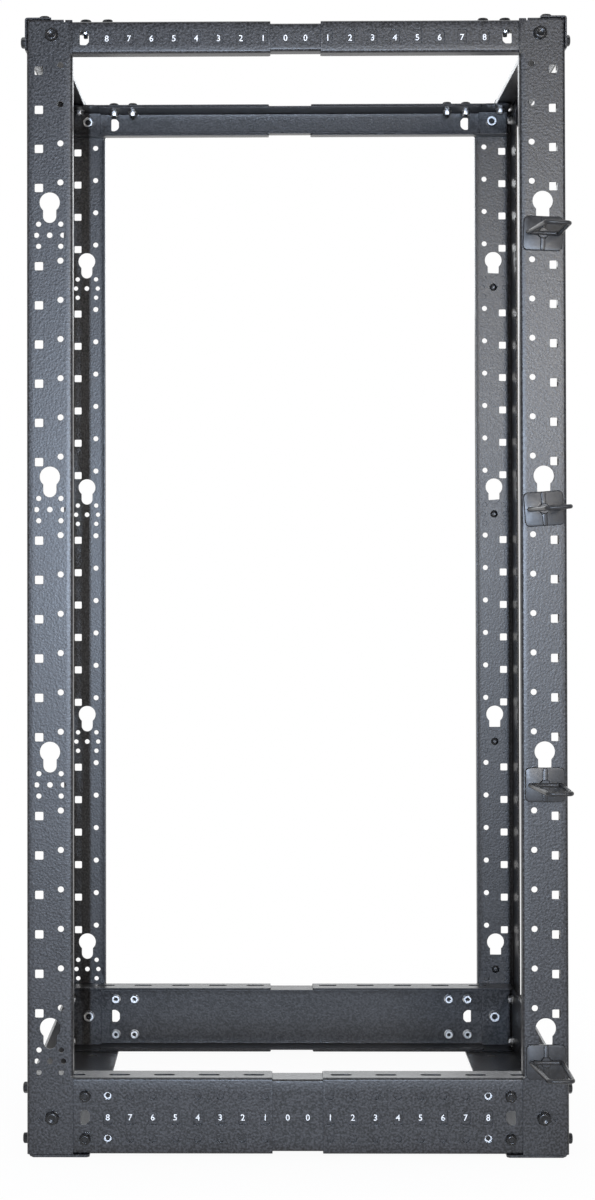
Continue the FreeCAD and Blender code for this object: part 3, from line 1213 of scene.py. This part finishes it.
class CableRing:
    """A swivelling cable ring: a ribbed plate that carries a leaning loop of round bar."""

    SEAT = 300.2
    REACH = 105.0

    def __init__(self) -> None:
        """Makes the ring about its own screw, at X 0 and Z 0."""
        face = self.SEAT + 3
        plate = rounded(0, 0, 45, 39, 5.5, 5)
        parts = [self._slab(plate, self.SEAT, face, 0.9)]
        rib = rounded(0, 0, 5.6, 38.4, 2.2, 4)
        parts.append(self._slab(rib, face - 0.5, face + 1.6, 0.7))
        parts.append(swept(self._loop_path(face), 2.5))
        boss = stacked(
            [(0, round_radius(6.4)), (2.6, round_radius(6.0)), (3.4, round_radius(5.2))], 28,
        )
        parts.append((stood(boss[0], "y", (0, face - 0.2, 0)), boss[1]))
        self.parts = [(points, faces, 0) for points, faces in parts]

    @staticmethod
    def _slab(loop: Loop, y0: float, y1: float, round_off: float) -> Shell:
        """A flat slab in X and Z whose outer edge is rounded over.

        Args:
            loop: the outline.
            y0: where it is seated.
            y1: its outer face.
            round_off: the edge's radius.

        Returns:
            The points and the faces.
        """
        levels = [(y0, 0.0)]
        for k in range(4):
            a = math.radians(30 * k)
            levels.append((y1 - round_off * (1 - math.sin(a)), round_off * (1 - math.cos(a))))
        points: list[Triple] = []
        centre_x = sum(p[0] for p in loop) / len(loop)
        centre_z = sum(p[1] for p in loop) / len(loop)
        width = max(p[0] for p in loop) - min(p[0] for p in loop)
        height = max(p[1] for p in loop) - min(p[1] for p in loop)
        for y, inset in levels:
            for a, b in loop:
                points.append((
                    centre_x + (a - centre_x) * (1 - 2 * inset / width), y,
                    centre_z + (b - centre_z) * (1 - 2 * inset / height),
                ))
        count = len(loop)
        top = (len(levels) - 1) * count
        ends = [tuple(range(count)), tuple(reversed(range(top, top + count)))]
        return points, [ends[0], *tube_faces(len(levels), count), ends[1]]

    def _loop_path(self, face: float) -> list[Vector]:
        """The loop's centreline: straight at the rear, leaning in at the front.

        Args:
            face: the plate's outer face.

        Returns:
            The points, with the third coordinate 0.
        """
        bar = 2.5
        y0, y1 = face + bar, self.SEAT + self.REACH - bar
        base = 41 / 2 - bar
        front = base - 31 + 2 * bar
        corners = [Vector((base, y0)), Vector((base, y1)), Vector((front, y1)), Vector((-base, y0))]
        path: list[Vector] = []
        for i, corner in enumerate(corners):
            before = (corners[i - 1] - corner).normalized()
            after = (corners[(i + 1) % 4] - corner).normalized()
            half = before.angle(after) / 2
            radius = 5.0
            reach = radius / math.tan(half)
            pivot = corner + (before + after).normalized() * (radius / math.sin(half))
            start, finish = corner + before * reach - pivot, corner + after * reach - pivot
            turn = start.angle_signed(finish)
            for k in range(7):
                a = -turn * k / 6
                c, s = math.cos(a), math.sin(a)
                p = pivot + Vector((start.x * c - start.y * s, start.x * s + start.y * c))
                path.append(Vector((p.x, p.y, 0.0)))
        return path

    def build(self, shop: Workshop, side: Side, number: int, height: float, turn: float) -> None:
        """Puts a ring on a rear post.

        Args:
            shop: makes the piece.
            side: the post's side.
            number: the ring's number from the top.
            height: its screw's height.
            turn: its turn about the screw in degrees.
        """
        name = f"{side.name}_cable_ring_{number}".lower()
        c, s = math.cos(math.radians(turn)), math.sin(math.radians(turn))
        solids = []
        for points, faces, mark in self.parts:
            pts = np.array(points, float)
            x, z = pts[:, 0] * c + pts[:, 2] * s, -pts[:, 0] * s + pts[:, 2] * c
            moved = np.stack((x + RACK.station_x, pts[:, 1], z + height), axis=1)
            solids.append((moved, faces, mark))
        shop.piece(name + "_moulding", mirrored(solids, 1, side.value), [Finish.GLOSS], name)


class Fasteners:
    """The bolts, screws and nuts, each group in one piece."""

    def __init__(self) -> None:
        """Makes one of each kind, seat at 0."""
        self.post_bolt = self._hex_head(14.0, 6.4)
        self.screw = self._hex_head(11.5, 6.9)
        self.nut = self._flange_nut(10.0, 5.9, 6.4, 2.6)
        self.long_nut = self._flange_nut(10.0, 5.9, 6.4, 2.6, 4.0)
        self.post_nut = self._flange_nut(13.0, 6.4, 7.4, 4.0)
        self.ring_screw = stacked([
            (0, round_radius(5.1)), (0.4, round_radius(5.1)), (1.8, round_radius(4.6)),
            (2.7, round_radius(3.2)), (2.9, hex_radius(3.2)), (1.2, hex_radius(3.2)),
            (1.1, round_radius(0.3)),
        ])

    @staticmethod
    def _hex_head(flats: float, height: float) -> Shell:
        """A bolt's head: a hexagon on a washer face, with a rounded top and a shallow dish.

        Args:
            flats: the width across its flats.
            height: its height.

        Returns:
            The points and the faces.
        """
        hexagon = hex_radius(flats, flats * 0.57)
        return stacked([
            (0, round_radius(flats * 0.56)), (0.6, round_radius(flats * 0.56)), (0.8, hexagon),
            (height - 2.0, hexagon), (height - 0.9, hex_radius(flats * 0.97, flats * 0.51)),
            (height - 0.25, round_radius(flats * 0.42)), (height, round_radius(flats * 0.34)),
            (height - 0.1, round_radius(flats * 0.28)), (height - 0.7, round_radius(flats * 0.2)),
            (height - 0.7, round_radius(0.3)),
        ])

    @staticmethod
    def _flange_nut(
        flats: float, height: float, flange: float, bore: float, tail: float = -0.4,
    ) -> tuple[Shell, Shell]:
        """A flange nut and its bolt's end: two solids, the second one dark.

        Args:
            flats: the width across its flats.
            height: its height.
            flange: the radius of its flange.
            bore: the radius of its thread.
            tail: how far the bolt's end stands out of it.

        Returns:
            The nut, with a bore sunk in its seat, and the bolt's end.
        """
        hexagon = hex_radius(flats, flats * 0.555)
        nut = stacked([
            (1.9, round_radius(0.3)), (1.9, round_radius(bore)), (0.3, round_radius(bore)),
            (0, round_radius(bore + 0.3)), (0, round_radius(flange)), (0.8, round_radius(flange)),
            (1.3, round_radius(flange - 0.6)), (1.5, hexagon), (height - 0.7, hexagon),
            (height, round_radius(flats * 0.475)), (height, round_radius(bore + 0.5)),
            (height - 0.8, round_radius(bore)), (height - 1.2, round_radius(0.3)),
        ])
        end = height + tail
        tip = stacked([
            (1.0, round_radius(bore - 0.1)), (end - 0.6, round_radius(bore - 0.1)),
            (end, round_radius(bore - 0.6)), (end, round_radius(0.3)),
        ], 24)
        return nut, tip

    def build(self, shop: Workshop) -> None:
        """Puts every group in place.

        Args:
            shop: makes the pieces.
        """
        r = RACK
        rail_in = r.rail_y - r.sheet - 0.2
        for end in End:
            name = end.name.lower()
            bolts = [
                (stood(self.post_bolt[0], "y", (277.0, 300.2, z), spin), self.post_bolt[1], 0)
                for z, spin in ((r.lower_line, 41.0), (r.upper_line + r.bolt_rise, 32.0))
            ]
            self._group(shop, bolts, end, name + "_post_bolts", Finish.FASTENER)
            nuts = []
            for z, spin in ((r.lower_line, 8.0), (r.upper_line + r.bolt_rise, 21.0)):
                nuts += self._nut(self.post_nut, "-y", (277.0, rail_in, z), spin)
            self._group(shop, nuts, end, name + "_post_nuts", Finish.ZINC)
            screws = []
            for z, spin in ((15.0, 5.0), (72.0, 33.0)):
                place = (r.half_depth + 0.2, 270.0, z)
                screws.append((stood(self.screw[0], "x", place, spin), self.screw[1], 0))
            place = (307.6, 270.0, r.upper_line)
            screws.append((stood(self.screw[0], "x", place, 14.0), self.screw[1], 0))
            place = (287.0, 272.0, r.height + 0.1)
            screws.append((stood(self.screw[0], "z", place, 25.0), self.screw[1], 0))
            self._group(shop, screws, end, name + "_beam_screws", Finish.FASTENER)
            nuts = []
            for z, spin in ((15.0, 5.0), (72.0, 40.0)):
                nuts += self._nut(self.nut, "-x", (299.8, 270.0, z), spin)
            nuts += self._nut(self.nut, "-x", (303.0, 270.0, r.upper_line), 17.0)
            nuts += self._nut(self.nut, "-z", (287.0, 272.0, 1282.4), 3.0)
            self._group(shop, nuts, end, name + "_beam_nuts", Finish.ZINC)
            locks = []
            for rise, spin in ((-r.lock_rise, 12.0), (r.lock_rise, 48.0)):
                place = (r.mark(9), r.rail_y + 0.2, r.lower_line + rise)
                locks.append((stood(self.screw[0], "y", place, spin), self.screw[1], 0))
            for number, spin in ((8, 20.0), (9, 51.0)):
                place = (r.mark(number), 272.0, r.upper_high + 0.2)
                locks.append((stood(self.screw[0], "z", place, spin), self.screw[1], 0))
            self._group(shop, locks, end, name + "_lock_bolts", Finish.FASTENER)
        self._lock_nuts(shop)
        inside = r.half_width - r.sheet - 0.2
        heads = []
        for z in r.stations():
            place = (r.station_x, inside, z)
            heads.append((stood(self.ring_screw[0], "-y", place, z % 60), self.ring_screw[1], 0))
        both = mirrored(heads, 1, 1) + mirrored(heads, 1, -1)
        shop.piece("ring_screws_heads", both, [Finish.FASTENER], "ring_screws")

    @staticmethod
    def _nut(kind: tuple[Shell, Shell], axis: str, place: Triple, spin: float) -> list[Solid]:
        """A nut and its bolt's tip in place.

        Args:
            kind: the nut and the tip.
            axis: the way they point, as for stood().
            place: the seat's middle.
            spin: the nut's turn in degrees.

        Returns:
            The two solids.
        """
        nut, tip = kind
        return [
            (stood(nut[0], axis, place, spin), nut[1], 0), (stood(tip[0], axis, place), tip[1], 1),
        ]

    @staticmethod
    def _group(
        shop: Workshop, solids: Sequence[Solid], end: End, node: str, finish: Finish,
    ) -> None:
        """A group on both sides of one end.

        Args:
            shop: makes the piece.
            solids: the group's solids at the rear left.
            end: the group's end.
            node: the CAD node.
            finish: the finish of its first material.
        """
        both = mirrored(solids, end.value, 1) + mirrored(solids, end.value, -1)
        finishes = [finish] if finish is Finish.FASTENER else [finish, Finish.FASTENER]
        shop.piece(node + "_set", both, finishes, node)

    def _lock_nuts(self, shop: Workshop) -> None:
        """The nuts inside the scale rails, at both ends of both sides.

        Args:
            shop: makes the piece.
        """
        r = RACK
        nuts = []
        for number in (8, 9):
            for rise in (-r.lock_rise, r.lock_rise):
                place = (r.mark(number), r.scale_y - 2.2, r.lower_line + rise)
                nuts += self._nut(self.nut, "-y", place, 9.0 * number + rise)
            place = (r.mark(number), 272.0, r.upper_high - 4.5)
            nuts += self._nut(self.long_nut, "-z", place, 7.0 * number)
        placed = []
        for sx in (1, -1):
            for sy in (1, -1):
                placed += mirrored(nuts, sx, sy)
        shop.piece("lock_nuts_set", placed, [Finish.ZINC, Finish.FASTENER], "lock_nuts")


class ScaleNumbers:
    """The printed inch numbers on the scale rails, which show through the windows."""

    HEIGHT = 7.0

    def build(self, shop: Workshop) -> None:
        """Prints each rail's numbers.

        Args:
            shop: makes the pieces.
        """
        digits = {n: self._digit(n) for n in range(RACK.last_mark)}
        for side in Side:
            for level, line in (("upper", RACK.upper_line - 0.5), ("lower", RACK.lower_line - 0.4)):
                solids = []
                for number, (points, faces) in digits.items():
                    for sign in (-1, 1):
                        pts = np.array(points, float)
                        x = -side.value * pts[:, 0] + sign * RACK.mark(number)
                        y = side.value * (RACK.scale_y + 0.03 + pts[:, 2])
                        solids.append((np.stack((x, y, pts[:, 1] + line), axis=1), faces, 0))
                node = f"{side.name}_{level}_scale_rail".lower()
                shop.piece(node + "_numbers", solids, [Finish.INK], node, replaces=False)

    def _digit(self, number: int) -> Shell:
        """One digit about its middle, as points in millimetres and faces.

        Args:
            number: the digit.

        Returns:
            The points and the faces.
        """
        curve = bpy.data.curves.new("digit", "FONT")
        curve.body = str(number)
        curve.align_x, curve.align_y = "CENTER", "CENTER"
        curve.offset = 0.006
        curve.extrude = 0.01
        curve.resolution_u = 4
        thing = bpy.data.objects.new("digit", curve)
        bpy.context.scene.collection.objects.link(thing)
        evaluated = thing.evaluated_get(bpy.context.evaluated_depsgraph_get())
        mesh = evaluated.to_mesh()
        points = np.array([v.co for v in mesh.vertices], float)
        faces = [tuple(p.vertices) for p in mesh.polygons]
        evaluated.to_mesh_clear()
        bpy.data.objects.remove(thing)
        bpy.data.curves.remove(curve)
        low, high = points.min(0), points.max(0)
        scale = self.HEIGHT / (high[1] - low[1])
        middle = (low + high) / 2
        points = (points - middle) * scale
        points[:, 2] = np.where(points[:, 2] > 0, 0.06, 0.0)
        return points, faces


# ---------------------------------------------------------------------- studio


class Studio:
    """The floor, the backdrop, the lamps and the camera."""

    def build(self) -> None:
        """Makes the whole studio."""
        self._view()
        self._world()
        self._floor()
        self._lamps()
        self._camera()

    @staticmethod
    def _view() -> None:
        """Keeps the plain display transform."""
        settings = bpy.context.scene.view_settings
        settings.view_transform = "Standard"
        bpy.context.scene.render.use_compositing = False

    @staticmethod
    def _world() -> None:
        """A pale room: white to the camera and, but for the dark side in front, in metal."""
        world = bpy.data.worlds.new("studio")
        bpy.context.scene.world = world
        world.use_nodes = True
        tree = world.node_tree
        tree.nodes.clear()
        seen = add_node(tree, "ShaderNodeBackground", {"Color": (1, 1, 1, 1), "Strength": 1.0})
        place = tree.nodes.new("ShaderNodeTexCoord")
        way = add_node(tree, "ShaderNodeSeparateXYZ", {"Vector": place.outputs["Generated"]})
        level = add_node(
            tree, "ShaderNodeMapRange",
            {"Value": way.outputs["Y"], "From Min": -0.3, "From Max": 0.7, "To Min": 0.22,
             "To Max": 1.0},
        )
        lit = add_node(
            tree, "ShaderNodeBackground",
            {"Color": (0.97, 0.96, 1.0, 1), "Strength": level.outputs["Result"]},
        )
        gleam = add_node(
            tree, "ShaderNodeMapRange",
            {"Value": way.outputs["Y"], "From Min": -0.85, "From Max": -0.2, "To Min": 0.22},
        )
        shown = add_node(
            tree, "ShaderNodeBackground",
            {"Color": (1, 1, 1, 1), "Strength": gleam.outputs["Result"]},
        )
        mirrors = Studio._rays(tree, ("Is Glossy Ray", "Is Transmission Ray"))
        soft = add_node(
            tree, "ShaderNodeMixShader",
            {0: mirrors, 1: lit.outputs["Background"], 2: shown.outputs["Background"]},
        )
        camera = Studio._rays(tree, ("Is Camera Ray",))
        mix = add_node(
            tree, "ShaderNodeMixShader",
            {0: camera, 1: soft.outputs["Shader"], 2: seen.outputs["Background"]},
        )
        add_node(tree, "ShaderNodeOutputWorld", {"Surface": mix.outputs["Shader"]})

    @staticmethod
    def _rays(tree: Tree, kinds: Sequence[str]) -> bpy.types.NodeSocket:
        """A socket that is 1 for each of the named kinds of ray, and otherwise 0.

        Args:
            tree: the tree.
            kinds: names of the light path's outputs.

        Returns:
            The socket.
        """
        path = tree.nodes.new("ShaderNodeLightPath")
        found = path.outputs[kinds[0]]
        for kind in kinds[1:]:
            found = math_node(tree, "MAXIMUM", found, path.outputs[kind])
        return found

    @staticmethod
    def _floor() -> None:
        """A wide pale floor that turns into the white backdrop away from the rack."""
        mesh = bpy.data.meshes.new("floor")
        s = 30.0
        mesh.from_pydata([(-s, -s, 0), (s, -s, 0), (s, s, 0), (-s, s, 0)], [], [(0, 1, 2, 3)])
        material = bpy.data.materials.new("floor")
        material.use_nodes = True
        tree = material.node_tree
        shader = tree.nodes["Principled BSDF"]
        shader.inputs["Base Color"].default_value = (0.96, 0.96, 0.96, 1)
        shader.inputs["Roughness"].default_value = 0.9
        white = add_node(tree, "ShaderNodeEmission", {"Color": (1, 1, 1, 1), "Strength": 1.0})
        place = tree.nodes.new("ShaderNodeTexCoord")
        reach = add_node(
            tree, "ShaderNodeVectorMath", {0: place.outputs["Object"]}, operation="LENGTH",
        )
        fade = add_node(
            tree, "ShaderNodeMapRange",
            {"Value": reach.outputs["Value"], "From Min": 0.3, "From Max": 1.1, "To Min": 0.95},
        )
        rays = Studio._rays(tree, ("Is Camera Ray", "Is Glossy Ray", "Is Transmission Ray"))
        share = add_node(
            tree, "ShaderNodeMath", {0: fade.outputs["Result"], 1: rays}, operation="MULTIPLY",
        )
        mix = add_node(tree, "ShaderNodeMixShader", {"Fac": share.outputs[0]})
        tree.links.new(shader.outputs["BSDF"], mix.inputs[1])
        tree.links.new(white.outputs["Emission"], mix.inputs[2])
        tree.links.new(mix.outputs["Shader"], tree.nodes["Material Output"].inputs["Surface"])
        mesh.materials.append(material)
        floor = bpy.data.objects.new("floor", mesh)
        floor.location.z = -0.0005
        bpy.context.scene.collection.objects.link(floor)

    @staticmethod
    def _lamps() -> None:
        """Soft boxes round the rack."""
        cool, plain, warm = (0.66, 0.79, 1.0), (0.92, 0.96, 1.0), (1.0, 0.94, 0.87)
        boxes = [
            ("front_strip", (-0.087, -4.78, 0.71), (90, 0, 0), (0.03, 0.55), 150.0, cool),
            ("front_warm_box", (0.92, -4.78, 1.28), (90, 0, 0), (0.45, 0.6), 55.0, warm),
            ("key_box", (-2.6, -2.6, 2.6), (52, 0, -45), (1.8, 1.8), 12.0, plain),
            ("top_box", (0, 0, 3.4), (0, 0, 0), (2.4, 2.4), 24.0, plain),
            ("back_box", (0, 3.4, 2.0), (-62, 0, 0), (2.4, 1.6), 30.0, plain),
        ]
        for name, place, turn, size, power, colour in boxes:
            lamp = bpy.data.lights.new(name, "AREA")
            lamp.shape = "RECTANGLE"
            lamp.size, lamp.size_y = size
            lamp.energy = power
            lamp.color = colour
            thing = bpy.data.objects.new(name, lamp)
            thing.location = place
            thing.rotation_euler = Euler([math.radians(a) for a in turn])
            thing.visible_camera = False
            bpy.context.scene.collection.objects.link(thing)

    @staticmethod
    def _camera() -> None:
        """The camera at the photograph's place, looking across the rack."""
        data = bpy.data.cameras.new("camera")
        data.sensor_width = 36.0
        data.lens = 74.21
        data.shift_x, data.shift_y = 0.05517, -0.08417
        data.dof.use_dof = False
        data.clip_start, data.clip_end = 0.05, 60.0
        camera = bpy.data.objects.new("camera", data)
        camera.location = (-0.0398, -3.0968, 0.6967)
        camera.rotation_euler = Euler([math.radians(a) for a in (90.922, 0.1, 0.697)])
        bpy.context.scene.collection.objects.link(camera)
        bpy.context.scene.camera = camera


def main() -> None:
    logging.basicConfig(level=logging.INFO, format="%(message)s")
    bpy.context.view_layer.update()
    effects = Effects()
    materials = {finish: coat.build(effects) for finish, coat in COATS.items()}
    members = frame["record"]["behaviour"]["bodies"]
    shop = Workshop(materials, {node: body for body, nodes in members.items() for node in nodes})
    post = Post()
    rails = [(rail, rail.solid()) for rail in depth_rails()]
    for end in End:
        for side in Side:
            post.build(shop, end, side)
            for rail, solids in rails:
                rail.build(shop, solids, end, side)
        Beam().build(shop, end)
    for rail in scale_rails():
        solids = rail.solid()
        for side in Side:
            rail.build(shop, solids, None, side)
    ring = CableRing()
    for side in Side:
        for number, (height, turn) in enumerate(zip(RACK.stations(), RACK.ring_turns), 1):
            ring.build(shop, side, number, height, turn)
    Fasteners().build(shop)
    ScaleNumbers().build(shop)
    Studio().build()


if __name__ == "__main__":
    main()
